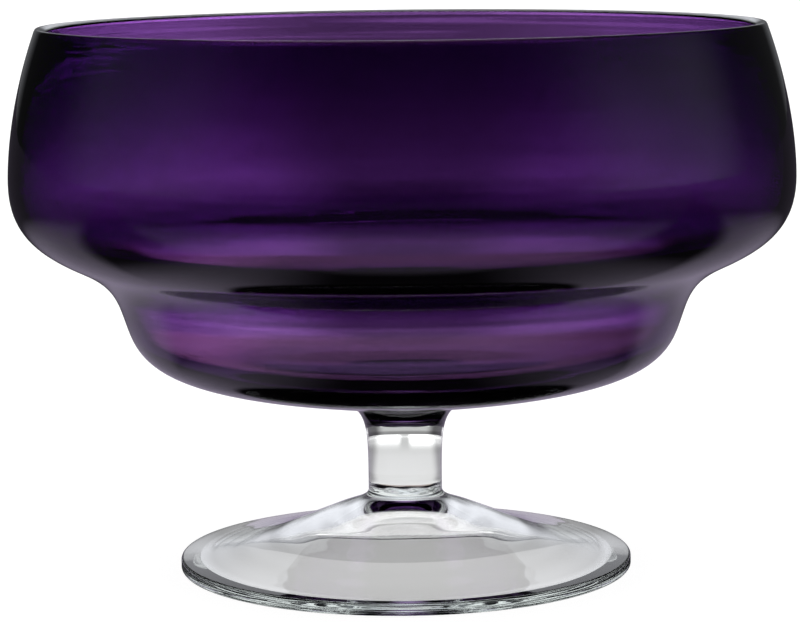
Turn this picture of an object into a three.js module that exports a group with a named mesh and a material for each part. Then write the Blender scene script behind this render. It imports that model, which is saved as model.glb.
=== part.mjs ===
// Footed glass centrepiece bowl, hot-worked from four gathers: a clear bowl with a stepped side, cased over
// a thin amethyst lining, then a solid clear stem and a domed clear foot, all fused on one upright axis.
// Millimetres, +Z up. The origin is on the table, under the axis.
import * as THREE from 'three';

// Overall height, from the table to the top of the rim
const HEIGHT = 175;

// Heights, stacked from the table up to the widest ring
const FOOT_HEIGHT = 27; // table to the lower weld
const STEM_LENGTH = 20; // lower weld to upper weld
const NECK_LENGTH = 11.2; // upper weld to the ring where the neck meets the underside
const BASIN_DEPTH = 19.2; // underside ring to the ring round the basin's side
const STEP_DEPTH = 22.8; // basin ring to the shoulder ring under the belly
const BELLY_RISE = 26.3; // shoulder ring to the widest ring; the mouth takes up the rest of the height

// Outside radii of the same rings
const STEM_RADIUS = 11.9;
const NECK_RADIUS = 13.3;
const UNDERSIDE_RADIUS = 48;
const BASIN_RADIUS = 87.7;
const SHOULDER_RADIUS = 105.5;
const BELLY_RADIUS = 125;
const RIM_RADIUS = 115.8;

// Slopes of the outside at those rings, in degrees
const NECK_FLARE = 19; // from upright, opening upwards
const UNDERSIDE_SLOPE = 11; // from level
const BASIN_LEAN = 21; // from upright, opening upwards
const SHOULDER_SLOPE = 25; // from level
const RIM_LEAN = 20; // from upright, closing upwards

// How far the curve follows each slope, below and above its ring
const NECK_BEND = 4.5;
const NECK_SWEEP = 9;
const UNDERSIDE_IN = 24;
const UNDERSIDE_OUT = 20;
const BASIN_BELOW = 14.5;
const BASIN_ABOVE = 10.5;
const SHOULDER_IN = 16;
const SHOULDER_OUT = 12.5;
const BELLY_BELOW = 15;
const BELLY_ABOVE = 12;
const RIM_BELOW = 18.5;

// Glass of the bowl, lining included
const MOUTH_WALL = 3.5; // from the rim to the widest ring
const SHOULDER_WALL = 6;
const BASIN_WALL = 4;
const FLOOR_RISE = 7.3; // inside floor over the underside ring
const FLOOR_FLAT = 24; // radius of the level floor
const FLOOR_SWEEP = 24; // how far the floor keeps nearly level outside that

// Glass of the lining, which is half the wall at the rim
const BELLY_LINING = 1.35;
const SHOULDER_LINING = 0.9;
const BASIN_LINING = 0.6;
const FLOOR_LINING = 0.6;
const DROP_DEPTH = 8; // thick drop of colour under the level floor
const DROP_CROWN = 12;
const DROP_EDGE = 9;
const FUSED_GAP = 0.05; // kept between casing and lining, so that their solids don't overlap

// Foot
const FOOT_RADIUS = 72.9;
const EDGE_THICKNESS = 4;
const EDGE_ROUND = 1;
const EDGE_SLOPE = 8; // from level, just inside the edge
const EDGE_SWEEP = 22;
const DOME_RADIUS = 24;
const DOME_HEIGHT = 19.1;
const DOME_SLOPE = 23; // from level
const DOME_OUT = 18;
const DOME_IN = 6;
const COLLAR_FLARE = 25; // from upright, opening downwards under the lower weld
const COLLAR_SWEEP = 3;
const STEM_SWEEP = 11; // straight run of the stem over the lower weld
const REST_WIDTH = 6; // flat ring that stands on the table
const HOLLOW_HEIGHT = 18; // dished underside at the axis
const HOLLOW_SLOPE = 10; // from level, just inside the resting ring
const HOLLOW_EDGE_SWEEP = 26;
const HOLLOW_CROWN_SWEEP = 16;

// Colours of the glass
const AMETHYST = 0x3b1d5c;
const CLEAR = 0xe3e8e8;

// Fineness
const ROUND_STEPS = 48;
const CURVE_STEPS = 6;

// Heights from the table
const LOWER_WELD = FOOT_HEIGHT;
const UPPER_WELD = LOWER_WELD + STEM_LENGTH;
const UNDERSIDE_HEIGHT = UPPER_WELD + NECK_LENGTH;
const BASIN_HEIGHT = UNDERSIDE_HEIGHT + BASIN_DEPTH;
const SHOULDER_HEIGHT = BASIN_HEIGHT + STEP_DEPTH;
const BELLY_HEIGHT = SHOULDER_HEIGHT + BELLY_RISE;
const FLOOR_HEIGHT = UNDERSIDE_HEIGHT + FLOOR_RISE;

const radians = THREE.MathUtils.degToRad;

/**
 * A ring of the turned form: its radius and height, the way the profile runs through it
 * (0 is outwards, 90 is up) and how far the curve keeps to that way before and after it.
 */
function ring( radius, height, heading, before, after ) {

	return { place: new THREE.Vector2( radius, height ), heading, before, after };

}

/** The point that lies a distance along the ring's heading, or behind it where the distance is negative. */
function along( aRing, distance ) {

	const angle = radians( aRing.heading );
	return new THREE.Vector2( Math.cos( angle ), Math.sin( angle ) ).multiplyScalar( distance ).add( aRing.place );

}

/** Draws the curve from ring to ring, in the order of the list. */
function follow( path, rings ) {

	for ( let i = 1; i < rings.length; i ++ ) {

		const start = along( rings[ i - 1 ], rings[ i - 1 ].after );
		const end = along( rings[ i ], - rings[ i ].before );
		path.bezierCurveTo( start.x, start.y, end.x, end.y, rings[ i ].place.x, rings[ i ].place.y );

	}

}

/** The same rings walked the other way. */
function backwards( rings ) {

	return rings.toReversed().map( ( { place, heading, before, after } ) =>
		ring( place.x, place.y, heading + 180, after, before ) );

}

/** The handle that makes a curve follow a circle of the given radius through a turn in degrees. */
function roundHandle( radius, turn ) {

	return radius * 4 / 3 * Math.tan( radians( turn ) / 4 );

}

/** The inside rings of a wall: each outside ring moved in by its glass, with handles to suit the tighter turn. */
function insideOf( rings, walls ) {

	return rings.map( ( outer, i ) => {

		const wall = walls[ i ];
		const inner = along( { ...outer, heading: outer.heading + 90 }, wall );
		const turnBefore = i > 0 ? outer.heading - rings[ i - 1 ].heading : 0;
		const turnAfter = i < rings.length - 1 ? rings[ i + 1 ].heading - outer.heading : 0;
		return ring(
			inner.x, inner.y, outer.heading,
			outer.before - roundHandle( wall, turnBefore ),
			outer.after - roundHandle( wall, turnAfter ) );

	} );

}

/** A named solid turned about the upright axis from a profile that starts and ends on it. */
function turned( name, path, material ) {

	const geometry = new THREE.LatheGeometry( path.getPoints( CURVE_STEPS ), ROUND_STEPS );
	geometry.rotateX( Math.PI / 2 );
	const mesh = new THREE.Mesh( geometry, material );
	mesh.name = name;
	return mesh;

}

/** Polished glass of one colour. */
function glass( color ) {

	return new THREE.MeshStandardMaterial( { color, roughness: 0.04, metalness: 0 } );

}

// Rings at the welds, shared by the pieces that meet there
const upperWeld = ring( NECK_RADIUS, UPPER_WELD, 90 - NECK_FLARE, NECK_BEND, NECK_SWEEP );
const lowerWeld = ring( STEM_RADIUS, LOWER_WELD, 90, 0, STEM_SWEEP );

// Rings of the bowl's outside and inside, from the basin to the rim
const halfRim = MOUTH_WALL / 2;
const rimHandle = roundHandle( halfRim, 90 );
const rimHeight = HEIGHT - halfRim * ( 1 - Math.sin( radians( RIM_LEAN ) ) );
const outsideRings = [
	ring( BASIN_RADIUS, BASIN_HEIGHT, 90 - BASIN_LEAN, BASIN_BELOW, BASIN_ABOVE ),
	ring( SHOULDER_RADIUS, SHOULDER_HEIGHT, SHOULDER_SLOPE, SHOULDER_IN, SHOULDER_OUT ),
	ring( BELLY_RADIUS, BELLY_HEIGHT, 90, BELLY_BELOW, BELLY_ABOVE ),
	ring( RIM_RADIUS, rimHeight, 90 + RIM_LEAN, RIM_BELOW, rimHandle ),
];
const insideRings = insideOf( outsideRings, [ BASIN_WALL, SHOULDER_WALL, MOUTH_WALL, MOUTH_WALL ] );

/** Rings where casing and lining meet, from the axis to the rim, moved into the lining by a gap. */
function jointRings( gap ) {

	const casing = [ BASIN_WALL - BASIN_LINING, SHOULDER_WALL - SHOULDER_LINING, MOUTH_WALL - BELLY_LINING, halfRim ];
	return [
		ring( 0, FLOOR_HEIGHT - DROP_DEPTH + gap, 0, 0, DROP_CROWN ),
		ring( FLOOR_FLAT, FLOOR_HEIGHT - FLOOR_LINING + gap, 0, DROP_EDGE, FLOOR_SWEEP ),
		...insideOf( outsideRings, casing.map( ( wall ) => wall + gap ) ),
	];

}

// Top of the rim, which casing and lining share
const rimCentre = jointRings( 0 ).at( - 1 );
const rimTop = along( rimCentre, halfRim );
const rim = ring( rimTop.x, rimTop.y, 180 + RIM_LEAN, rimHandle, rimHandle );

/** Bowl: the clear casing, with a short solid neck, a thick floor, a step, a full belly and half of the round rim. */
function makeBowl() {

	const underside = ring( UNDERSIDE_RADIUS, UNDERSIDE_HEIGHT, UNDERSIDE_SLOPE, UNDERSIDE_IN, UNDERSIDE_OUT );

	const path = new THREE.Path();
	path.moveTo( 0, UPPER_WELD );
	path.lineTo( NECK_RADIUS, UPPER_WELD );
	follow( path, [ upperWeld, underside, ...outsideRings, rim ] );
	path.lineTo( rimCentre.place.x, rimCentre.place.y );
	follow( path, backwards( jointRings( 0 ) ) );
	return turned( 'bowl', path, glass( CLEAR ) );

}

/** Lining: the amethyst skin inside the casing, with a thick drop in the middle of the floor. */
function makeLining() {

	const floor = ring( FLOOR_FLAT, FLOOR_HEIGHT, 0, 0, FLOOR_SWEEP );
	const outer = jointRings( FUSED_GAP );

	const path = new THREE.Path();
	path.moveTo( outer[ 0 ].place.x, outer[ 0 ].place.y );
	follow( path, outer );
	path.lineTo( rimTop.x, rimTop.y );
	follow( path, [ rim, ...backwards( [ floor, ...insideRings ] ) ] );
	path.lineTo( 0, FLOOR_HEIGHT );
	return turned( 'lining', path, glass( AMETHYST ) );

}

/** Stem: a solid clear rod, flared at the top to the bowl's neck. */
function makeStem() {

	const path = new THREE.Path();
	path.moveTo( 0, LOWER_WELD );
	path.lineTo( STEM_RADIUS, LOWER_WELD );
	follow( path, [ lowerWeld, upperWeld ] );
	path.lineTo( 0, UPPER_WELD );
	return turned( 'stem', path, glass( CLEAR ) );

}

/** Foot: a domed disc on a flat ring, dished underneath, with a flared collar up to the stem. */
function makeFoot() {

	const restRadius = FOOT_RADIUS - EDGE_ROUND;
	const lowHandle = roundHandle( EDGE_ROUND, 90 );
	const highTurn = 90 - EDGE_SLOPE;
	const highHandle = roundHandle( EDGE_ROUND, highTurn );
	const highCentre = ring( restRadius, EDGE_THICKNESS - EDGE_ROUND, highTurn, 0, 0 );
	const highPoint = along( highCentre, EDGE_ROUND );

	const hollow = [
		ring( 0, HOLLOW_HEIGHT, 0, 0, HOLLOW_CROWN_SWEEP ),
		ring( restRadius - REST_WIDTH, 0, - HOLLOW_SLOPE, HOLLOW_EDGE_SWEEP, 0 ),
	];
	const lowEdge = [
		ring( restRadius, 0, 0, 0, lowHandle ),
		ring( FOOT_RADIUS, EDGE_ROUND, 90, lowHandle, 0 ),
	];
	const top = [
		ring( FOOT_RADIUS, EDGE_THICKNESS - EDGE_ROUND, 90, 0, highHandle ),
		ring( highPoint.x, highPoint.y, 180 - EDGE_SLOPE, highHandle, EDGE_SWEEP ),
		ring( DOME_RADIUS, DOME_HEIGHT, 180 - DOME_SLOPE, DOME_OUT, DOME_IN ),
		ring( STEM_RADIUS, LOWER_WELD, 90 + COLLAR_FLARE, COLLAR_SWEEP, 0 ),
	];

	const path = new THREE.Path();
	path.moveTo( 0, HOLLOW_HEIGHT );
	follow( path, hollow );
	path.lineTo( restRadius, 0 );
	follow( path, lowEdge );
	path.lineTo( FOOT_RADIUS, EDGE_THICKNESS - EDGE_ROUND );
	follow( path, top );
	path.lineTo( 0, LOWER_WELD );
	return turned( 'foot', path, glass( CLEAR ) );

}

const centrepiece = new THREE.Group();
centrepiece.add( makeBowl(), makeLining(), makeStem(), makeFoot() );

export default centrepiece;
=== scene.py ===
"""Footed glass centrepiece bowl: clear casing, amethyst lining, solid stem and domed foot.

Metres, +Z up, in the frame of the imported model. The origin is on the table, under the axis of the bowl.
"""
import math

import bpy
from bpy.props import FloatProperty, FloatVectorProperty, IntProperty, PointerProperty
from mathutils import Matrix, Vector


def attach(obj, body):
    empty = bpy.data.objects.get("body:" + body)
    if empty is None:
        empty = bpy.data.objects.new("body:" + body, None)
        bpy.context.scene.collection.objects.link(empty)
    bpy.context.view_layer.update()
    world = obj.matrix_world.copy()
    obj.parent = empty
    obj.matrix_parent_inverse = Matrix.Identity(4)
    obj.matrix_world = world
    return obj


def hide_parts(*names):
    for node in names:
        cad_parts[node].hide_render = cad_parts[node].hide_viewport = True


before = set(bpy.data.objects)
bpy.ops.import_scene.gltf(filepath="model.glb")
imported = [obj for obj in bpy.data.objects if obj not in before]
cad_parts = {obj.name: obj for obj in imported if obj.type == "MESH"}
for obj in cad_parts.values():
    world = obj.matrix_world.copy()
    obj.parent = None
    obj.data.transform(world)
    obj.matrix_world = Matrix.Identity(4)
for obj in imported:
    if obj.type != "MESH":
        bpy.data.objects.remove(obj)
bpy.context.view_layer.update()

bl_info = {
    "name": "Glass Centrepiece Bowl",
    "version": (1, 0, 0),
    "blender": (4, 5, 0),
    "location": "View3D > Sidebar > Centrepiece",
    "description": "Turns the casing, lining, stem and foot of a footed glass bowl and sets its studio",
    "category": "Object",
}

MM = 0.001

# Profiles. Headings are in degrees, 0 outwards and 90 up. A pull is how far a ring's heading holds the
# curve; a pair of pulls is before the ring and after it. The drop's two are shares of its radius.
NECK_HEADING = 71
UNDERSIDE_HEADING = 11
BASIN_HEADING = 69
SHOULDER_HEADING = 25
BELLY_HEADING = 90
RIM_HEADING = 110
STEM_HEADING = 90
COLLAR_HEADING = 105
DOME_HEADING = 157
NECK_PULL = (4.5 * MM, 9 * MM)
UNDERSIDE_PULL = (24 * MM, 20 * MM)
BASIN_PULL = (14.5 * MM, 10.5 * MM)
SHOULDER_PULL = (16 * MM, 12.5 * MM)
BELLY_PULL = (15 * MM, 12 * MM)
RIM_PULL = 18.5 * MM
BELLY_PULL_INSIDE = 11.7 * MM
RIM_PULL_INSIDE = 18.2 * MM
STEM_PULL = 11 * MM
COLLAR_PULL = 3 * MM
DOME_PULL = (18 * MM, 6 * MM)
EDGE_PULL = 22 * MM
EDGE_ROUND = 1 * MM
EDGE_SLOPE = 8
DROP_CROWN = 0.6
DROP_EDGE = 0.3
MERGE_DISTANCE = 0.002 * MM
SMOOTH_ANGLE = 35

# Glass. A ripple is its stretch along X, Y and Z, its scale, its share of the set strength, and its depth.
GLASS_IOR = 1.5
FUSED_IOR = 1.0
CASING_SLOW = ((1, 1, 1.6), 14, 1.0, 4 * MM)
CASING_RINGS = ((0.15, 0.15, 6), 60, 0.35, 1 * MM)
LINING_SLOW = ((1, 1, 1.6), 11, 1.0, 4 * MM)
LINING_STREAKS = ((0.1, 0.1, 5), 70, 0.8, 1 * MM)
STEM_SLOW = ((1, 1, 0.7), 45, 1.0, 2 * MM)
FOOT_SLOW = ((1, 1, 1), 22, 1.0, 3 * MM)
RIPPLE_DETAIL = 1.0
RIPPLE_ROUGHNESS = 0.4
SCAR_STRETCH = (1, 1, 3)
SCAR_SCALE = 130
SCAR_START = 1 * MM
SCAR_END = 4 * MM
TURNING_SCALE = 28.0
TURNING_WANDER = 0.8
FINE_DEPTH = 1 * MM

# Limits for a ray's passes through glass and its reflections, which are whole numbers.
DOME_PASSES = 2.5
BOWL_PASSES = 4.5
ONE_MIRROR = 0.5
TWO_MIRRORS = 1.5

# The floor through the glass, painted light and shade: its brightness at a few distances from the axis,
# darker near the axis for the bowl's painted shadow, then where that changes.
# Each pair is where a change starts and ends, in metres; left, right and corner are shares of the distance.
FLOOR_SIZE = 12
FLOOR_GAP = 0.05 * MM
LEVEL_TOP = 2.0
FLOOR_LEVELS = (
    (0.03, 0.5), (0.068, 0.55), (0.085, 0.8), (0.2, 0.8), (0.4, 0.65), (0.7, 0.7),
    (1.1, 0.95), (1.8, 0.75), (2.6, 0.58), (4.0, 0.58), (5.0, 1.5), (6.0, 1.6),
)
HORIZON = (4.0, 5.0)
HORIZON_SHARE = 0.3
NEAR_LEFT = (-0.045, -0.1)
DOME_REACH = (1.0, 2.0)
ASIDE_SOFT = 0.05
FLOOR_LEFT = (-0.03, -0.12)
FLOOR_RIGHT = (0.03, 0.12)
FLOOR_CORNER = (0.4, 0.65)

# The floor in reflections, and right under the foot: painted light and shade. FOOT_SHADE is where the
# painted shadow under the foot ends.
FAINT = 0.02
FOOT_SHADE = (0.076, 0.086)
MIRROR_REAR = (0.0, 0.06)
MIRROR_AHEAD = (-0.15, -0.11)
MIRROR_REACH = (0.25, 0.6)
MIRROR_FAR_SHARE = 0.1
FLANK_START = (0.03, 0.10)
FLANK_END = (0.11, 0.18)
FLANK_END_SHARE = 0.06
FLANK_TURN = (-0.05, 0.05)
RIGHT_FLANK_SHARE = 0.6
UNDER_REACH = 0.03
UNDER_BEND = 28.0
UNDER_BEND_MOST = 0.03
UNDER_SOFT = 0.006
UNDER_SIDES = (0.045, 0.078)

# The room. The pairs are parts of a direction of length 1.
ROOM_BACK = (0.35, 0.6)
ROOM_SIDES = (0.85, 0.97)
ROOM_FRONT = (-0.3, 0.2)
ROOM_FRONT_SHARE = 0.6
ROOM_CEILING = (0.25, 0.6)
ROOM_STRIP = (0.03, 0.09)
BACK_LAMP = (0.86, 0.97)
LAMP_TURN = (-0.3, 0.3)
LAMP_START = (-0.75, -0.3)
LAMP_END = (0.1, 0.5)
LAMP_END_SHARE = 0.1
RIM_LAMP_RISE = (0.02, 0.2)
RIM_LAMP_WIDTH = (0.0, 0.4)
RIM_LAMP_REAR = (0.0, 0.6)

# Light, camera and how often a ray may turn.
LIGHT_HEIGHT = 1.5
SENSOR_WIDTH = 36
CLIP_START = 0.01
CLIP_END = 100
GLASS_BOUNCES = 40
MIRROR_BOUNCES = 12


def length(name, description, default):
    """A size in metres that a user may change."""
    return FloatProperty(
        name=name, description=description, default=default, min=0.0, precision=5,
        unit="LENGTH", subtype="DISTANCE",
    )


def level(name, description, default):
    """A plain number, zero or more."""
    return FloatProperty(name=name, description=description, default=default, min=0.0)


def share(name, description, default):
    """A number from zero to one."""
    return FloatProperty(
        name=name, description=description, default=default, min=0.0, max=1.0, subtype="FACTOR",
    )


def angle(name, description, degrees):
    """An angle, given here in degrees."""
    return FloatProperty(
        name=name, description=description, default=math.radians(degrees), subtype="ANGLE",
    )


def colour(name, description, default):
    """A colour, red, green and blue."""
    return FloatVectorProperty(
        name=name, description=description, default=default, size=3, min=0.0, max=1.0, subtype="COLOR",
    )


class CentrepieceForm(bpy.types.PropertyGroup):
    """Sizes of the four pieces."""

    height: length("Height", "Table to the top of a round rim; a squarer rim ends a hair higher", 0.1748)
    lower_weld: length("Lower weld", "Table to the weld between foot and stem", 0.0245)
    upper_weld: length("Upper weld", "Table to the weld between stem and bowl", 0.047)
    underside: length("Underside", "Table to the ring where the neck meets the underside", 0.0582)
    basin: length("Basin", "Table to the ring round the basin's side", 0.0774)
    shoulder: length("Shoulder", "Table to the ring under the belly", 0.1002)
    belly: length("Belly", "Table to the widest ring", 0.1265)
    floor: length("Floor", "Table to the floor inside the bowl", 0.0645)
    stem_radius: length("Stem radius", "Radius of the solid stem", 0.0119)
    neck_radius: length("Neck radius", "Radius at the upper weld", 0.0133)
    underside_radius: length("Underside radius", "Radius of the underside ring", 0.048)
    basin_radius: length("Basin radius", "Radius of the basin's side", 0.0877)
    shoulder_radius: length("Shoulder radius", "Radius of the ring under the belly", 0.1055)
    belly_radius: length("Belly radius", "Radius of the widest ring", 0.125)
    rim_radius: length("Rim radius", "Outside radius just under the rim", 0.1158)
    foot_radius: length("Foot radius", "Radius of the foot's edge", 0.0729)
    foot_edge: length("Foot edge", "Thickness of the foot's edge", 0.004)
    dome_radius: length("Dome radius", "Radius of a ring high on the foot's dome", 0.024)
    dome_height: length("Dome height", "Table to that ring on the dome", 0.0183)
    foot_hollow: length("Foot hollow", "Height of the dished underside at the axis", 0.018)
    hollow_radius: length("Hollow radius", "Radius of that dish at the table", 0.0659)
    hollow_crown: length("Hollow crown", "How far the dish stays level round the axis", 0.016)
    hollow_sweep: length("Hollow sweep", "How far the dish keeps its slope at the table", 0.026)
    hollow_slope: angle("Hollow slope", "Slope of the dish at the table", 10)
    mouth_wall: length("Mouth wall", "Glass from the rim to the belly, lining included", 0.0035)
    shoulder_wall: length("Shoulder wall", "Glass at the step, lining included", 0.0053)
    basin_wall: length("Basin wall", "Glass at the basin's side, lining included", 0.0053)
    belly_lining: length("Belly lining", "Amethyst glass at the belly", 0.00127)
    shoulder_lining: length("Shoulder lining", "Amethyst glass at the step", 0.00175)
    basin_lining: length("Basin lining", "Amethyst glass at the basin", 0.00078)
    drop_depth: length("Drop depth", "Thick drop of amethyst in the middle of the floor", 0.009)
    drop_radius: length("Drop radius", "Radius of that drop", 0.0215)
    floor_radius: length("Floor radius", "Radius of the level floor", 0.022)
    rim_square: level("Rim squareness", "0.55 is a half-round rim, 1 a square one", 0.85)
    floor_sweep: length("Floor sweep", "How far the level floor pulls on the basin's curve", 0.0186)
    basin_turn: angle("Basin turn", "How much steeper the basin is inside", 1.3)
    basin_below: length("Basin below", "Pull of the basin's inside on the curve below", 0.015)
    basin_above: length("Basin above", "Pull of the basin's inside on the curve above", 0.014)
    shoulder_turn: angle("Shoulder turn", "How much steeper the step is inside", 4.5)
    shoulder_in: length("Shoulder in", "Pull of the step's inside towards the basin", 0.021)
    shoulder_out: length("Shoulder out", "Pull of the step's inside towards the belly", 0.0088)
    belly_below: length("Belly below", "Pull of the belly's inside on the curve below", 0.0165)
    fused_gap: length("Fused gap", "Gap between faces that are fused, too small to see", 0.00002)
    curve_steps: IntProperty(name="Curve steps", description="Edges along each curve", default=20, min=4)
    round_steps: IntProperty(name="Round steps", description="Edges round the axis", default=224, min=32)


class CentrepieceGlass(bpy.types.PropertyGroup):
    """Colours and surface of the glass."""

    amethyst: colour("Amethyst", "Colour that the lining lets through", (0.325, 0.048, 0.457))
    amethyst_density: level("Amethyst density", "Strength of the lining's colour per metre", 2000.0)
    clear: colour("Clear", "Faint tint of the clear glass", (0.80, 0.90, 0.88))
    clear_density: level("Clear density", "Strength of that tint per metre", 6.0)
    scar: share("Weld scar", "Strength of the ripple at the foot of the stem", 0.35)
    turning: share("Turning", "Strength of the faint rings on the foot", 0.03)
    ripple: share("Ripple", "Strength of the slow ripple of hand-worked glass", 0.06)


class CentrepieceStage(bpy.types.PropertyGroup):
    """Camera, floor and light."""

    camera_place: FloatVectorProperty(
        name="Camera place", description="Where the camera stands", size=3, default=(0.0, -0.9358, 0.2142),
        unit="LENGTH", subtype="TRANSLATION",
    )
    camera_pitch: angle("Camera pitch", "How far the camera looks down", 8)
    camera_roll: angle("Camera roll", "How far the camera leans to one side", -0.6)
    focal_length: FloatProperty(
        name="Focal length", description="Lens on a 36 mm wide sensor", default=132.2, min=1.0,
        unit="CAMERA", subtype="DISTANCE_CAMERA",
    )
    shift: FloatProperty(
        name="Shift", description="Sideways shift, as a share of the width", default=-0.0044,
    )
    floor_glow: share("Floor glow", "Share of the floor's white that no shadow takes away", 0.94)
    floor_white: share("Floor white", "Diffuse colour of the floor", 0.2)
    left_boost: level("Left boost", "Extra light behind the glass, to the left", 2.0)
    right_boost: level("Right boost", "Extra light behind the glass, to the right", 1.2)
    near_boost: level("Near boost", "Extra light close behind the bowl, to the left", 2.0)
    near_tint: colour("Near tint", "Colour of the light close behind the bowl", (1.0, 0.86, 0.72))
    boost_start: length("Boost start", "How far behind the glass the boosts to the sides start", 0.25)
    dome_floor: level("Dome floor", "Extra light on the floor that shows through the foot's dome", 1.0)
    dome_room: level("Dome room", "Extra light in the room that shows through the foot's dome", 2.0)
    corner_level: level("Corner level", "Share of light on the floor's corners", 0.45)
    # Painted light and shade on the floor, in reflections and right under the foot.
    mirror_back: level("Mirrored back", "Level of the floor behind, in reflections", 0.4)
    mirror_side: level("Mirrored side", "Level of the floor beside, in reflections", 0.42)
    mirror_front: level("Mirrored front", "Level of the floor in front, in reflections", 0.35)
    mirror_tint: colour("Mirrored tint", "Colour of the floor in reflections", (0.85, 0.74, 1.0))
    under_front: level("Under front", "Level of the floor under the foot, in front", 0.66)
    under_back: level("Under back", "Level of the floor under the foot, behind", 0.95)
    under_line: length("Under line", "How far behind the axis that floor turns light", 0.041)
    under_side: level("Under side", "Share of that light at the foot's left and right", 0.5)
    back_level: level("Back level", "Level of the studio's back, through the glass", 0.3)
    strip_level: level("Strip level", "Times as light over the horizon as on it, through the glass", 2.0)
    dark_level: level("Dark level", "Level of the studio's corners, through the glass", 0.06)
    side_level: level("Side level", "Level of the studio's sides, through the glass", 0.9)
    ceiling_level: level("Ceiling level", "Share of light from high up", 0.3)
    left_lamp: level("Left lamp", "Soft light mirrored on the left", 0.13)
    right_lamp: level("Right lamp", "Soft light mirrored on the right", 0.25)
    back_lamp: level("Back lamp", "Soft light mirrored at the horizon behind", 0.15)
    lamp_tint: colour("Lamp tint", "Colour of the mirrored lights", (0.92, 0.94, 1.0))
    rim_lamp: level("Rim lamp", "Light over the horizon behind, mirrored by the rim", 1.2)
    top_light: level("Top light", "Soft light from above, in watts per square metre", 2.9)
    top_size: angle("Top size", "Angle that the light from above fills", 70)


class Ring:
    """A ring of a turned form: radius, height, the profile's heading there, and its two pulls."""

    def __init__(self, radius, height, heading, before, after):
        self.radius, self.height, self.heading = radius, height, heading
        self.before, self.after = before, after

    def along(self, distance):
        """The point of the profile's plane that lies a distance along the ring's heading."""
        turn = math.radians(self.heading)
        step = Vector((math.cos(turn), 0.0, math.sin(turn))) * distance
        return Vector((self.radius, 0.0, self.height)) + step

    def turned_back(self):
        """The same ring, walked the other way."""
        return Ring(self.radius, self.height, self.heading + 180, self.after, self.before)


def backwards(rings):
    """A list of rings, walked the other way."""
    return [ring.turned_back() for ring in reversed(rings)]


def round_handle(radius, turn):
    """The pull that makes a curve follow a circle through a turn in degrees."""
    return radius * 4 / 3 * math.tan(math.radians(turn) / 4)


class Profile:
    """Half of a turned section, drawn from the axis round to the axis again."""

    def __init__(self, radius, height):
        place = Vector((radius, 0.0, height))
        self.knots = [[place, place, place]]
        self.fused = []

    def line(self, radius, height, fused=False):
        """A straight stroke."""
        start, end = self.knots[-1][0], Vector((radius, 0.0, height))
        self.knots[-1][2] = start.lerp(end, 1 / 3)
        self.knots.append([end, start.lerp(end, 2 / 3), end])
        self.fused.append(fused)

    def curve(self, rings, fused=False):
        """Curved strokes from the first ring, where the profile already is, to the last."""
        for here, there in zip(rings, rings[1:]):
            self.knots[-1][2] = here.along(here.after)
            self.knots.append([there.along(0), there.along(-there.before), there.along(0)])
            self.fused.append(fused)


def turn_piece(name, profile, form):
    """Spins a profile round the axis, closes it and marks the faces that are fused to a neighbour."""
    bpy.ops.object.select_all(action="DESELECT")
    bpy.ops.curve.primitive_bezier_curve_add(location=(0, 0, 0))
    piece = bpy.context.object
    piece.data.dimensions = "3D"
    spline = piece.data.splines[0]
    spline.bezier_points.add(len(profile.knots) - 2)
    spline.resolution_u = form.curve_steps
    for point, (place, before, after) in zip(spline.bezier_points, profile.knots):
        point.handle_left_type = "FREE"
        point.handle_right_type = "FREE"
        point.co, point.handle_left, point.handle_right = place, before, after
    bpy.ops.object.convert(target="MESH")
    piece = bpy.context.object
    piece.name = name
    piece.data.name = name

    marks = [0.0] * len(piece.data.vertices)
    for i, fused in enumerate(profile.fused):
        if fused:
            first = i * form.curve_steps
            marks[first:first + form.curve_steps + 1] = [1.0] * (form.curve_steps + 1)
    piece.data.attributes.new("fused", "FLOAT", "POINT").data.foreach_set("value", marks)

    bpy.ops.object.mode_set(mode="EDIT")
    bpy.ops.mesh.select_all(action="SELECT")
    bpy.ops.mesh.spin(steps=form.round_steps, angle=math.tau, center=(0, 0, 0), axis=(0, 0, 1))
    bpy.ops.mesh.select_all(action="SELECT")
    bpy.ops.mesh.remove_doubles(threshold=MERGE_DISTANCE)
    bpy.ops.mesh.normals_make_consistent(inside=False)
    bpy.ops.object.mode_set(mode="OBJECT")
    if sum(face.center.dot(face.normal) * face.area for face in piece.data.polygons) < 0:
        bpy.ops.object.mode_set(mode="EDIT")
        bpy.ops.mesh.select_all(action="SELECT")
        bpy.ops.mesh.flip_normals()
        bpy.ops.object.mode_set(mode="OBJECT")
    bpy.ops.object.shade_smooth_by_angle(angle=math.radians(SMOOTH_ANGLE))

    mesh = piece.data
    if len(mesh.polygons) < form.round_steps:
        raise RuntimeError(name + " was not turned")
    marks = [0.0] * len(mesh.vertices)
    mesh.attributes["fused"].data.foreach_get("value", marks)
    bending = [
        FUSED_IOR if all(marks[v] > 0.5 for v in face.vertices) else GLASS_IOR
        for face in mesh.polygons
    ]
    mesh.attributes.new("bending", "FLOAT", "FACE").data.foreach_set("value", bending)
    return piece


def add_node(tree, kind, inputs=None, **settings):
    """A shader node with some of its inputs and settings set."""
    node = tree.nodes.new(kind)
    for key, value in settings.items():
        setattr(node, key, value)
    for key, value in (inputs or {}).items():
        node.inputs[key].default_value = value
    return node


def plug(tree, source, target):
    """Joins an output to an input."""
    tree.links.new(source, target)


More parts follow.
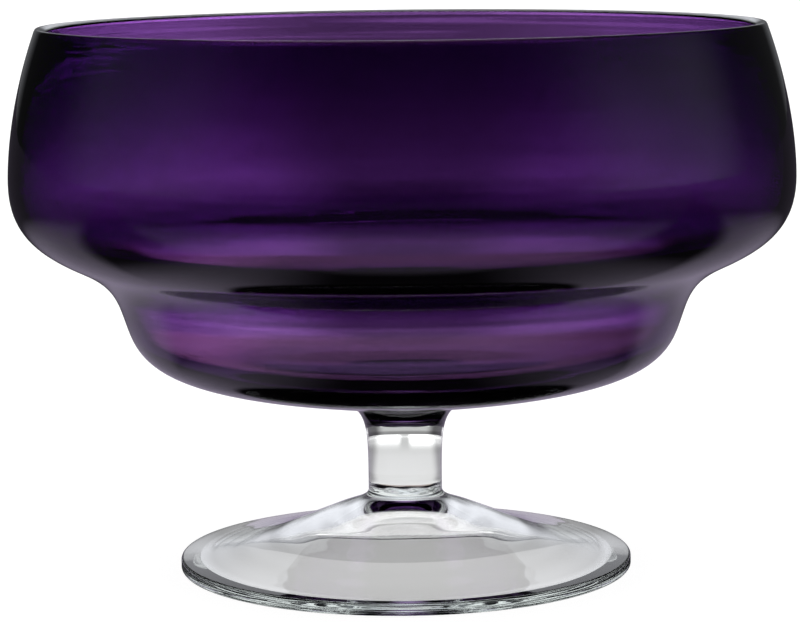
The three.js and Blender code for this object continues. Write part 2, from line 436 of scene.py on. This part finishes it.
def polished_glass(name, tint, density):
    """Smooth glass, tinted through its thickness; fused faces don't bend light.

    Returns the material, its tree and its shader.
    """
    material = bpy.data.materials.new(name)
    material.use_nodes = True
    tree = material.node_tree
    shader = tree.nodes["Principled BSDF"]
    shader.inputs["Base Color"].default_value = (1, 1, 1, 1)
    shader.inputs["Roughness"].default_value = 0.0
    shader.inputs["Transmission Weight"].default_value = 1.0
    shader.inputs["IOR"].default_value = GLASS_IOR
    bending = add_node(tree, "ShaderNodeAttribute", attribute_name="bending")
    plug(tree, bending.outputs["Fac"], shader.inputs["IOR"])
    body = add_node(tree, "ShaderNodeVolumeAbsorption")
    body.inputs["Color"].default_value = (*tint, 1)
    body.inputs["Density"].default_value = density
    plug(tree, body.outputs["Volume"], tree.nodes["Material Output"].inputs["Volume"])
    return material, tree, shader


def object_place(tree):
    """Object coordinates of the piece."""
    return add_node(tree, "ShaderNodeTexCoord").outputs["Object"]


def ripple_height(tree, stretch, scale):
    """A slow waviness of the surface; stretch squeezes it along each axis."""
    mapping = add_node(tree, "ShaderNodeMapping", {"Scale": stretch})
    noise = add_node(
        tree, "ShaderNodeTexNoise",
        {"Scale": scale, "Detail": RIPPLE_DETAIL, "Roughness": RIPPLE_ROUGHNESS},
    )
    plug(tree, object_place(tree), mapping.inputs["Vector"])
    plug(tree, mapping.outputs["Vector"], noise.inputs["Vector"])
    return noise.outputs[0]


def emboss(tree, height, strength, depth, before=None):
    """A bump layer over an earlier one."""
    bump = add_node(tree, "ShaderNodeBump", {"Strength": strength, "Distance": depth})
    plug(tree, height, bump.inputs["Height"])
    if before is not None:
        plug(tree, before, bump.inputs["Normal"])
    return bump.outputs["Normal"]


def rippled(tree, kind, strength, before=None):
    """A bump layer of one kind of ripple."""
    stretch, scale, part, depth = kind
    return emboss(tree, ripple_height(tree, stretch, scale), strength * part, depth, before)


def smooth_range(tree, value, ramp, at_start, at_end):
    """Runs a number smoothly from one level to another, between the ramp's start and end."""
    node = add_node(tree, "ShaderNodeMapRange", interpolation_type="SMOOTHSTEP")
    for socket, number in zip(node.inputs[1:5], (*ramp, at_start, at_end)):
        socket.default_value = number
    plug(tree, value, node.inputs[0])
    return node.outputs[0]


def combine(tree, operation, first, second=0.0):
    """Joins two numbers, each an output or a plain number."""
    node = add_node(tree, "ShaderNodeMath", operation=operation)
    for socket, value in zip(node.inputs, (first, second)):
        if isinstance(value, (int, float)):
            socket.default_value = value
        else:
            plug(tree, value, socket)
    return node.outputs[0]


def product(tree, *values):
    """Multiplies several outputs."""
    result = values[0]
    for value in values[1:]:
        result = combine(tree, "MULTIPLY", result, value)
    return result


def more_than(tree, value, limit):
    """One where a number is over a limit, zero elsewhere."""
    return combine(tree, "GREATER_THAN", value, limit)


def unless(tree, switch):
    """One where a switch is off, zero where it is on."""
    return combine(tree, "SUBTRACT", 1.0, switch)


def dress(piece, node, material):
    """Gives a piece its glass and its body, and hides the model's solid that it stands for."""
    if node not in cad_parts:
        raise RuntimeError("The model has no node " + node)
    piece.data.materials.clear()
    piece.data.materials.append(material)
    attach(piece, "root")
    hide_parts(node)


def rim_handle(form):
    """The pull of the rim's rounding."""
    return form.rim_square * form.mouth_wall / 2


def outside_rings(form):
    """The bowl's outside, from the basin to the rim."""
    half = form.mouth_wall / 2
    rim_height = form.height - half * (1 - math.sin(math.radians(RIM_HEADING - 90)))
    return [
        Ring(form.basin_radius, form.basin, BASIN_HEADING, *BASIN_PULL),
        Ring(form.shoulder_radius, form.shoulder, SHOULDER_HEADING, *SHOULDER_PULL),
        Ring(form.belly_radius, form.belly, BELLY_HEADING, *BELLY_PULL),
        Ring(form.rim_radius, rim_height, RIM_HEADING, RIM_PULL, rim_handle(form)),
    ]


def inside_rings(form, depths):
    """The bowl's inside from the basin to the rim, each ring as deep in the glass as its depth."""
    basin, shoulder, belly, rim = (
        Ring(ring.radius, ring.height, ring.heading + 90, 0, 0).along(depth)
        for ring, depth in zip(outside_rings(form), depths)
    )
    basin_heading = BASIN_HEADING + math.degrees(form.basin_turn)
    shoulder_heading = SHOULDER_HEADING + math.degrees(form.shoulder_turn)
    return [
        Ring(basin.x, basin.z, basin_heading, form.basin_below, form.basin_above),
        Ring(shoulder.x, shoulder.z, shoulder_heading, form.shoulder_in, form.shoulder_out),
        Ring(belly.x, belly.z, BELLY_HEADING, form.belly_below, BELLY_PULL_INSIDE),
        Ring(rim.x, rim.z, RIM_HEADING, RIM_PULL_INSIDE, rim_handle(form)),
    ]


def joint_rings(form, gap):
    """Where casing and lining meet, from the axis to the rim, moved into the lining by a gap."""
    depths = [
        form.basin_wall - form.basin_lining + gap,
        form.shoulder_wall - form.shoulder_lining + gap,
        form.mouth_wall - form.belly_lining + gap,
        form.mouth_wall / 2 + gap,
    ]
    drop_bottom = form.floor - form.drop_depth + gap
    floor_bottom = form.floor - form.basin_lining + gap
    return [
        Ring(0, drop_bottom, 0, 0, form.drop_radius * DROP_CROWN),
        Ring(form.drop_radius, floor_bottom, 0, form.drop_radius * DROP_EDGE, 0),
        Ring(form.floor_radius, floor_bottom, 0, 0, form.floor_sweep),
        *inside_rings(form, depths),
    ]


def rim_ring(form):
    """The top of the rim, which casing and lining share."""
    centre = joint_rings(form, 0)[-1]
    top = centre.along(form.mouth_wall / 2)
    return Ring(top.x, top.z, RIM_HEADING + 90, rim_handle(form), rim_handle(form))


class CENTREPIECE_OT_casing(bpy.types.Operator):
    """Turn the clear casing of the bowl, with its neck and thick floor"""

    bl_idname = "centrepiece.casing"
    bl_label = "Clear Casing"

    def execute(self, context):
        form, finish = context.scene.centrepiece_form, context.scene.centrepiece_glass
        low = form.upper_weld + form.fused_gap
        joint = joint_rings(form, 0)
        profile = Profile(0, low)
        profile.line(form.neck_radius, low, fused=True)
        profile.curve([
            Ring(form.neck_radius, low, NECK_HEADING, *NECK_PULL),
            Ring(form.underside_radius, form.underside, UNDERSIDE_HEADING, *UNDERSIDE_PULL),
            *outside_rings(form),
            rim_ring(form),
        ])
        profile.line(joint[-1].radius, joint[-1].height, fused=True)
        profile.curve(backwards(joint), fused=True)
        piece = turn_piece("clear_casing", profile, form)

        material, tree, shader = polished_glass("casing_glass", finish.clear, finish.clear_density)
        slow = rippled(tree, CASING_SLOW, finish.ripple)
        plug(tree, rippled(tree, CASING_RINGS, finish.ripple, slow), shader.inputs["Normal"])
        dress(piece, "bowl", material)
        return {"FINISHED"}


class CENTREPIECE_OT_lining(bpy.types.Operator):
    """Turn the thin amethyst lining of the bowl, with the drop in its floor"""

    bl_idname = "centrepiece.lining"
    bl_label = "Amethyst Lining"

    def execute(self, context):
        form, finish = context.scene.centrepiece_form, context.scene.centrepiece_glass
        joint = joint_rings(form, form.fused_gap)
        rim = rim_ring(form)
        walls = [form.basin_wall, form.shoulder_wall, form.mouth_wall, form.mouth_wall]
        floor = Ring(form.floor_radius, form.floor, 0, 0, form.floor_sweep)
        profile = Profile(0, joint[0].height)
        profile.curve(joint, fused=True)
        profile.line(rim.radius, rim.height, fused=True)
        profile.curve([rim, *backwards([floor, *inside_rings(form, walls)])])
        profile.line(0, form.floor)
        piece = turn_piece("amethyst_lining", profile, form)

        material, tree, shader = polished_glass("amethyst_glass", finish.amethyst, finish.amethyst_density)
        slow = rippled(tree, LINING_SLOW, finish.ripple)
        plug(tree, rippled(tree, LINING_STREAKS, finish.ripple, slow), shader.inputs["Normal"])
        dress(piece, "lining", material)
        return {"FINISHED"}


class CENTREPIECE_OT_stem(bpy.types.Operator):
    """Turn the solid clear stem, flared to the neck"""

    bl_idname = "centrepiece.stem"
    bl_label = "Clear Stem"

    def execute(self, context):
        form, finish = context.scene.centrepiece_form, context.scene.centrepiece_glass
        low = form.lower_weld + form.fused_gap
        profile = Profile(0, low)
        profile.line(form.stem_radius, low, fused=True)
        profile.curve([
            Ring(form.stem_radius, low, STEM_HEADING, 0, STEM_PULL),
            Ring(form.neck_radius, form.upper_weld, NECK_HEADING, *NECK_PULL),
        ])
        profile.line(0, form.upper_weld, fused=True)
        piece = turn_piece("clear_stem", profile, form)

        material, tree, shader = polished_glass("stem_glass", finish.clear, finish.clear_density)
        slow = rippled(tree, STEM_SLOW, finish.ripple)
        axes = add_node(tree, "ShaderNodeSeparateXYZ")
        plug(tree, object_place(tree), axes.inputs[0])
        ramp = (form.lower_weld + SCAR_START, form.lower_weld + SCAR_END)
        at_weld = smooth_range(tree, axes.outputs["Z"], ramp, 1.0, 0.0)
        scar = product(tree, ripple_height(tree, SCAR_STRETCH, SCAR_SCALE), at_weld)
        plug(tree, emboss(tree, scar, finish.scar, FINE_DEPTH, slow), shader.inputs["Normal"])
        dress(piece, "stem", material)
        return {"FINISHED"}


class CENTREPIECE_OT_foot(bpy.types.Operator):
    """Turn the domed clear foot, dished underneath"""

    bl_idname = "centrepiece.foot"
    bl_label = "Clear Foot"

    def execute(self, context):
        form, finish = context.scene.centrepiece_form, context.scene.centrepiece_glass
        rest = form.foot_radius - EDGE_ROUND
        edge_top = form.foot_edge - EDGE_ROUND
        low_handle = round_handle(EDGE_ROUND, 90)
        high_handle = round_handle(EDGE_ROUND, 90 - EDGE_SLOPE)
        high = Ring(rest, edge_top, 90 - EDGE_SLOPE, 0, 0).along(EDGE_ROUND)
        hollow_heading = -math.degrees(form.hollow_slope)
        profile = Profile(0, form.foot_hollow)
        profile.curve([
            Ring(0, form.foot_hollow, 0, 0, form.hollow_crown),
            Ring(form.hollow_radius, 0, hollow_heading, form.hollow_sweep, 0),
        ])
        profile.line(rest, 0)
        profile.curve([
            Ring(rest, 0, 0, 0, low_handle),
            Ring(form.foot_radius, EDGE_ROUND, 90, low_handle, 0),
        ])
        profile.line(form.foot_radius, edge_top)
        profile.curve([
            Ring(form.foot_radius, edge_top, 90, 0, high_handle),
            Ring(high.x, high.z, 180 - EDGE_SLOPE, high_handle, EDGE_PULL),
            Ring(form.dome_radius, form.dome_height, DOME_HEADING, *DOME_PULL),
            Ring(form.stem_radius, form.lower_weld, COLLAR_HEADING, COLLAR_PULL, 0),
        ])
        profile.line(0, form.lower_weld, fused=True)
        piece = turn_piece("clear_foot", profile, form)

        material, tree, shader = polished_glass("foot_glass", finish.clear, finish.clear_density)
        slow = rippled(tree, FOOT_SLOW, finish.ripple)
        rings = add_node(
            tree, "ShaderNodeTexWave", {"Scale": TURNING_SCALE, "Distortion": TURNING_WANDER},
            wave_type="RINGS", rings_direction="Z",
        )
        plug(tree, object_place(tree), rings.inputs["Vector"])
        turning = emboss(tree, rings.outputs["Fac"], finish.turning, FINE_DEPTH, slow)
        plug(tree, turning, shader.inputs["Normal"])
        dress(piece, "foot", material)
        return {"FINISHED"}


# A Mix node has a pair of inputs for each kind of value: 2 and 3 take numbers, 6 and 7 take colours.
def choose(tree, switch, when_off, when_on):
    """One of two numbers."""
    node = add_node(tree, "ShaderNodeMix", data_type="FLOAT")
    plug(tree, switch, node.inputs[0])
    plug(tree, when_off, node.inputs[2])
    plug(tree, when_on, node.inputs[3])
    return node.outputs[0]


def tinted(tree, switch, tint, before=None):
    """White or an earlier colour, or a tint where the switch is on."""
    node = add_node(tree, "ShaderNodeMix", data_type="RGBA")
    node.inputs[6].default_value = (1, 1, 1, 1)
    node.inputs[7].default_value = (*tint, 1)
    plug(tree, switch, node.inputs[0])
    if before is not None:
        plug(tree, before, node.inputs[6])
    return node.outputs[2]


def stepped_levels(tree, distance, levels):
    """Brightness that follows a few (distance, brightness) pairs, on a logarithmic scale of distance."""
    first, last = math.log10(levels[0][0]), math.log10(levels[-1][0])
    place = add_node(tree, "ShaderNodeMapRange")
    for socket, number in zip(place.inputs[1:5], (first, last, 0, 1)):
        socket.default_value = number
    plug(tree, combine(tree, "LOGARITHM", distance, 10.0), place.inputs[0])
    curve = add_node(tree, "ShaderNodeFloatCurve")
    points = curve.mapping.curves[0].points
    for here, brightness in levels[1:-1]:
        points.new((math.log10(here) - first) / (last - first), brightness / LEVEL_TOP)
    points[0].location = (0, levels[0][1] / LEVEL_TOP)
    points[len(points) - 1].location = (1, levels[-1][1] / LEVEL_TOP)
    curve.mapping.update()
    plug(tree, place.outputs[0], curve.inputs["Value"])
    return combine(tree, "MULTIPLY", curve.outputs[0], LEVEL_TOP)


class StageRays:
    """Where a ray ends, as three numbers of a place or a direction, and what it met before."""

    def __init__(self, tree, place):
        path = add_node(tree, "ShaderNodeLightPath")
        axes = add_node(tree, "ShaderNodeSeparateXYZ")
        plug(tree, place, axes.inputs[0])
        self.across, self.along, self.up = axes.outputs
        self.beside = combine(tree, "ABSOLUTE", self.across)
        self.reach = path.outputs["Ray Length"]
        self.passes = path.outputs["Transmission Depth"]
        self.mirrors = path.outputs["Glossy Depth"]
        self.from_camera = path.outputs["Is Camera Ray"]
        self.turned = more_than(tree, self.mirrors, ONE_MIRROR)


class FloorRays(StageRays):
    """Rays that end on the floor, with the distance from the axis."""

    def __init__(self, tree):
        place = add_node(tree, "ShaderNodeNewGeometry").outputs["Position"]
        super().__init__(tree, place)
        away = add_node(tree, "ShaderNodeVectorMath", operation="LENGTH")
        plug(tree, place, away.inputs[0])
        self.away = away.outputs["Value"]


def through_dome(tree, rays, boost):
    """More light for rays with enough passes for the foot's dome, and too few for the whole bowl."""
    dome = more_than(tree, rays.passes, DOME_PASSES)
    bowl = more_than(tree, rays.passes, BOWL_PASSES)
    extra = combine(tree, "MULTIPLY", combine(tree, "SUBTRACT", dome, bowl), boost)
    return combine(tree, "ADD", extra, 1.0)


def sideways_levels(tree, stage, aside, far):
    """How the light behind the glass changes sideways: brighter to each side, grey at the corners."""
    left = smooth_range(tree, aside, FLOOR_LEFT, 0.0, stage.left_boost)
    right = smooth_range(tree, aside, FLOOR_RIGHT, 0.0, stage.right_boost)
    boost = combine(tree, "MULTIPLY", combine(tree, "ADD", left, right), far)
    wide = smooth_range(tree, combine(tree, "ABSOLUTE", aside), FLOOR_CORNER, 1.0, stage.corner_level)
    return combine(tree, "MULTIPLY", combine(tree, "ADD", boost, 1.0), wide)


def floor_through(tree, rays, stage):
    """Level of the floor through the glass, painted light and shade; also a switch for the floor close
    behind the bowl.
    """
    start = (stage.boost_start, 2 * stage.boost_start)
    far_start = smooth_range(tree, rays.away, start, 0.0, 1.0)
    far = product(tree, far_start, smooth_range(tree, rays.away, HORIZON, 1.0, HORIZON_SHARE))
    bowl = more_than(tree, rays.passes, BOWL_PASSES)
    left = smooth_range(tree, rays.across, NEAR_LEFT, 0.0, stage.near_boost)
    near = combine(tree, "ADD", product(tree, left, bowl, unless(tree, far)), 1.0)
    aside = combine(tree, "DIVIDE", rays.across, combine(tree, "ADD", rays.away, ASIDE_SOFT))
    graded = stepped_levels(tree, rays.away, FLOOR_LEVELS)
    dome = through_dome(tree, rays, smooth_range(tree, rays.away, DOME_REACH, stage.dome_floor, 0.0))
    through = product(tree, graded, sideways_levels(tree, stage, aside, far), near, dome)
    return through, product(tree, bowl, unless(tree, far_start))


def floor_mirrored(tree, rays, stage):
    """Level of the floor in reflections, painted light and shade: light behind, beside and in front of a
    middle darkened by painted shadow.
    """
    # Painted shadow: the floor under the foot stays faint in reflections.
    ring = smooth_range(tree, rays.away, FOOT_SHADE, FAINT, 1.0)
    rear = smooth_range(tree, rays.along, MIRROR_REAR, FAINT, stage.mirror_back)
    flank_start = smooth_range(tree, rays.beside, FLANK_START, FAINT, stage.mirror_side)
    flank_end = smooth_range(tree, rays.beside, FLANK_END, 1.0, FLANK_END_SHARE)
    flank_share = smooth_range(tree, rays.across, FLANK_TURN, 1.0, RIGHT_FLANK_SHARE)
    flank = product(tree, flank_start, flank_end, flank_share)
    ahead = smooth_range(tree, rays.along, MIRROR_AHEAD, stage.mirror_front, FAINT)
    lit = combine(tree, "MAXIMUM", combine(tree, "MAXIMUM", rear, flank), ahead)
    return product(tree, ring, lit, smooth_range(tree, rays.away, MIRROR_REACH, 1.0, MIRROR_FAR_SHARE))


def floor_under(tree, rays, stage):
    """Level of the floor right under the foot, painted light and shade: light behind a bent line, painted
    shade in front and at the sides.
    """
    bend = product(tree, combine(tree, "MULTIPLY", rays.across, UNDER_BEND), rays.across)
    bent = combine(tree, "SUBTRACT", rays.along, combine(tree, "MINIMUM", bend, UNDER_BEND_MOST))
    line = (stage.under_line - UNDER_SOFT, stage.under_line + UNDER_SOFT)
    behind = smooth_range(tree, bent, line, stage.under_front, stage.under_back)
    return product(tree, behind, smooth_range(tree, rays.beside, UNDER_SIDES, 1.0, stage.under_side))


def make_floor(stage):
    """A white floor that keeps the shadow; glass shows it with painted light and shade, and dimmed by
    painted shadow where it is mirrored.
    """
    bpy.ops.object.select_all(action="DESELECT")
    bpy.ops.mesh.primitive_plane_add(size=FLOOR_SIZE, location=(0, 0, -FLOOR_GAP))
    floor = bpy.context.object
    floor.name = "floor"
    material = bpy.data.materials.new("floor_white")
    material.use_nodes = True
    tree = material.node_tree
    tree.nodes.clear()
    output = add_node(tree, "ShaderNodeOutputMaterial")
    rays = FloorRays(tree)

    # Close means right under the foot. A ray that was mirrored just once stays a reflection, however close.
    once = combine(tree, "SUBTRACT", rays.turned, more_than(tree, rays.mirrors, TWO_MIRRORS))
    close = combine(tree, "LESS_THAN", combine(tree, "ADD", rays.reach, once), UNDER_REACH)
    through, near_bowl = floor_through(tree, rays, stage)
    seen = choose(tree, rays.turned, through, floor_mirrored(tree, rays, stage))
    warm = tinted(tree, near_bowl, stage.near_tint)
    off_bowl = product(tree, rays.turned, unless(tree, close))
    glow = add_node(tree, "ShaderNodeEmission")
    plug(tree, choose(tree, close, seen, floor_under(tree, rays, stage)), glow.inputs["Strength"])
    # Painted tint of light: the floor turns lilac where it is mirrored away from the bowl.
    plug(tree, tinted(tree, off_bowl, stage.mirror_tint, warm), glow.inputs["Color"])

    base = add_node(tree, "ShaderNodeEmission", {"Strength": stage.floor_glow})
    white = add_node(tree, "ShaderNodeBsdfDiffuse", {"Color": (stage.floor_white,) * 3 + (1,)})
    both = add_node(tree, "ShaderNodeAddShader")
    pick = add_node(tree, "ShaderNodeMixShader")
    plug(tree, base.outputs[0], both.inputs[0])
    plug(tree, white.outputs[0], both.inputs[1])
    plug(tree, rays.from_camera, pick.inputs[0])
    plug(tree, glow.outputs[0], pick.inputs[1])
    plug(tree, both.outputs[0], pick.inputs[2])
    plug(tree, pick.outputs[0], output.inputs["Surface"])
    floor.data.materials.append(material)


def room_through(tree, rays, stage, above):
    """Level of the room through the glass: a pale back, dark corners, light sides."""
    corners = smooth_range(tree, rays.beside, ROOM_BACK, stage.back_level, stage.dark_level)
    sides = smooth_range(tree, rays.beside, ROOM_SIDES, 0.0, stage.side_level)
    front = smooth_range(tree, rays.along, ROOM_FRONT, ROOM_FRONT_SHARE, 1.0)
    strip = smooth_range(tree, rays.up, ROOM_STRIP, 1.0, stage.strip_level)
    dome = through_dome(tree, rays, stage.dome_room)
    return product(tree, combine(tree, "MAXIMUM", corners, sides), front, above, strip, dome)


def room_mirrored(tree, rays, stage, above):
    """Level of the room in reflections: soft lamps left, right and behind, and one that lights the rim."""
    back = smooth_range(tree, rays.along, BACK_LAMP, 0.0, stage.back_lamp)
    lamp = smooth_range(tree, rays.across, LAMP_TURN, stage.left_lamp, stage.right_lamp)
    lamp_start = smooth_range(tree, rays.along, LAMP_START, 0.0, 1.0)
    lamp_end = smooth_range(tree, rays.along, LAMP_END, 1.0, LAMP_END_SHARE)
    low = product(tree, combine(tree, "MAXIMUM", back, product(tree, lamp, lamp_start, lamp_end)), above)
    high = smooth_range(tree, rays.up, RIM_LAMP_RISE, 0.0, stage.rim_lamp)
    middle = smooth_range(tree, rays.beside, RIM_LAMP_WIDTH, 1.0, 0.0)
    rear = smooth_range(tree, rays.along, RIM_LAMP_REAR, 0.0, 1.0)
    return combine(tree, "MAXIMUM", low, product(tree, high, middle, rear))


def make_room(scene, stage):
    """A studio that is white to the camera, and graded through the glass and in reflections."""
    world = bpy.data.worlds.new("studio")
    scene.world = world
    world.use_nodes = True
    tree = world.node_tree
    tree.nodes.clear()
    output = add_node(tree, "ShaderNodeOutputWorld")
    rays = StageRays(tree, add_node(tree, "ShaderNodeTexCoord").outputs["Generated"])
    above = smooth_range(tree, rays.up, ROOM_CEILING, 1.0, stage.ceiling_level)
    through = room_through(tree, rays, stage, above)
    seen = choose(tree, rays.turned, through, room_mirrored(tree, rays, stage, above))
    light = add_node(tree, "ShaderNodeBackground")
    plug(tree, tinted(tree, rays.turned, stage.lamp_tint), light.inputs["Color"])
    plug(tree, combine(tree, "MAXIMUM", seen, rays.from_camera), light.inputs["Strength"])
    plug(tree, light.outputs[0], output.inputs["Surface"])


def make_top_light(stage):
    """A broad soft light straight above."""
    bpy.ops.object.light_add(type="SUN", location=(0, 0, LIGHT_HEIGHT))
    lamp = bpy.context.object
    lamp.name = "top_light"
    lamp.data.energy = stage.top_light
    lamp.data.angle = stage.top_size
    lamp.visible_glossy = False
    lamp.visible_transmission = False


def make_camera(scene, stage):
    """The photograph's camera."""
    bpy.ops.object.camera_add()
    camera = bpy.context.object
    camera.name = "camera"
    camera.data.sensor_width = SENSOR_WIDTH
    camera.data.lens = stage.focal_length
    camera.data.shift_x = stage.shift
    camera.data.clip_start, camera.data.clip_end = CLIP_START, CLIP_END
    pitch = Matrix.Rotation(math.pi / 2 - stage.camera_pitch, 4, "X")
    roll = Matrix.Rotation(stage.camera_roll, 4, "Z")
    camera.matrix_world = Matrix.Translation(stage.camera_place) @ pitch @ roll
    scene.camera = camera


class CENTREPIECE_OT_stage(bpy.types.Operator):
    """Set the floor, the room, the light and the camera"""

    bl_idname = "centrepiece.stage"
    bl_label = "Studio"

    def execute(self, context):
        scene, stage = context.scene, context.scene.centrepiece_stage
        make_floor(stage)
        make_room(scene, stage)
        make_top_light(stage)
        make_camera(scene, stage)
        scene.view_settings.view_transform = "Standard"
        scene.cycles.max_bounces = GLASS_BOUNCES
        scene.cycles.transmission_bounces = GLASS_BOUNCES
        scene.cycles.glossy_bounces = MIRROR_BOUNCES
        return {"FINISHED"}


class CENTREPIECE_PT_sidebar(bpy.types.Panel):
    """Sizes, glass and studio of the centrepiece bowl"""

    bl_idname = "CENTREPIECE_PT_sidebar"
    bl_label = "Glass Centrepiece"
    bl_space_type = "VIEW_3D"
    bl_region_type = "UI"
    bl_category = "Centrepiece"

    def draw(self, context):
        for key in GROUPS:
            group = getattr(context.scene, key)
            box = self.layout.box()
            for name in group.bl_rna.properties.keys():
                if name not in {"rna_type", "name"}:
                    box.prop(group, name)
        for operator in OPERATORS:
            self.layout.operator(operator.bl_idname)


GROUPS = {
    "centrepiece_form": CentrepieceForm,
    "centrepiece_glass": CentrepieceGlass,
    "centrepiece_stage": CentrepieceStage,
}
OPERATORS = (
    CENTREPIECE_OT_casing,
    CENTREPIECE_OT_lining,
    CENTREPIECE_OT_stem,
    CENTREPIECE_OT_foot,
    CENTREPIECE_OT_stage,
)


def register():
    """Adds the groups, operators and panel to Blender."""
    for cls in (*GROUPS.values(), *OPERATORS, CENTREPIECE_PT_sidebar):
        bpy.utils.register_class(cls)
    for name, group in GROUPS.items():
        setattr(bpy.types.Scene, name, PointerProperty(type=group))


def unregister():
    """Takes them out again."""
    for name in GROUPS:
        delattr(bpy.types.Scene, name)
    for cls in reversed((*GROUPS.values(), *OPERATORS, CENTREPIECE_PT_sidebar)):
        bpy.utils.unregister_class(cls)


def main():
    """Makes the pieces and the stage."""
    register()
    bpy.ops.centrepiece.casing()
    bpy.ops.centrepiece.lining()
    bpy.ops.centrepiece.stem()
    bpy.ops.centrepiece.foot()
    bpy.ops.centrepiece.stage()


if __name__ == "__main__":
    main()
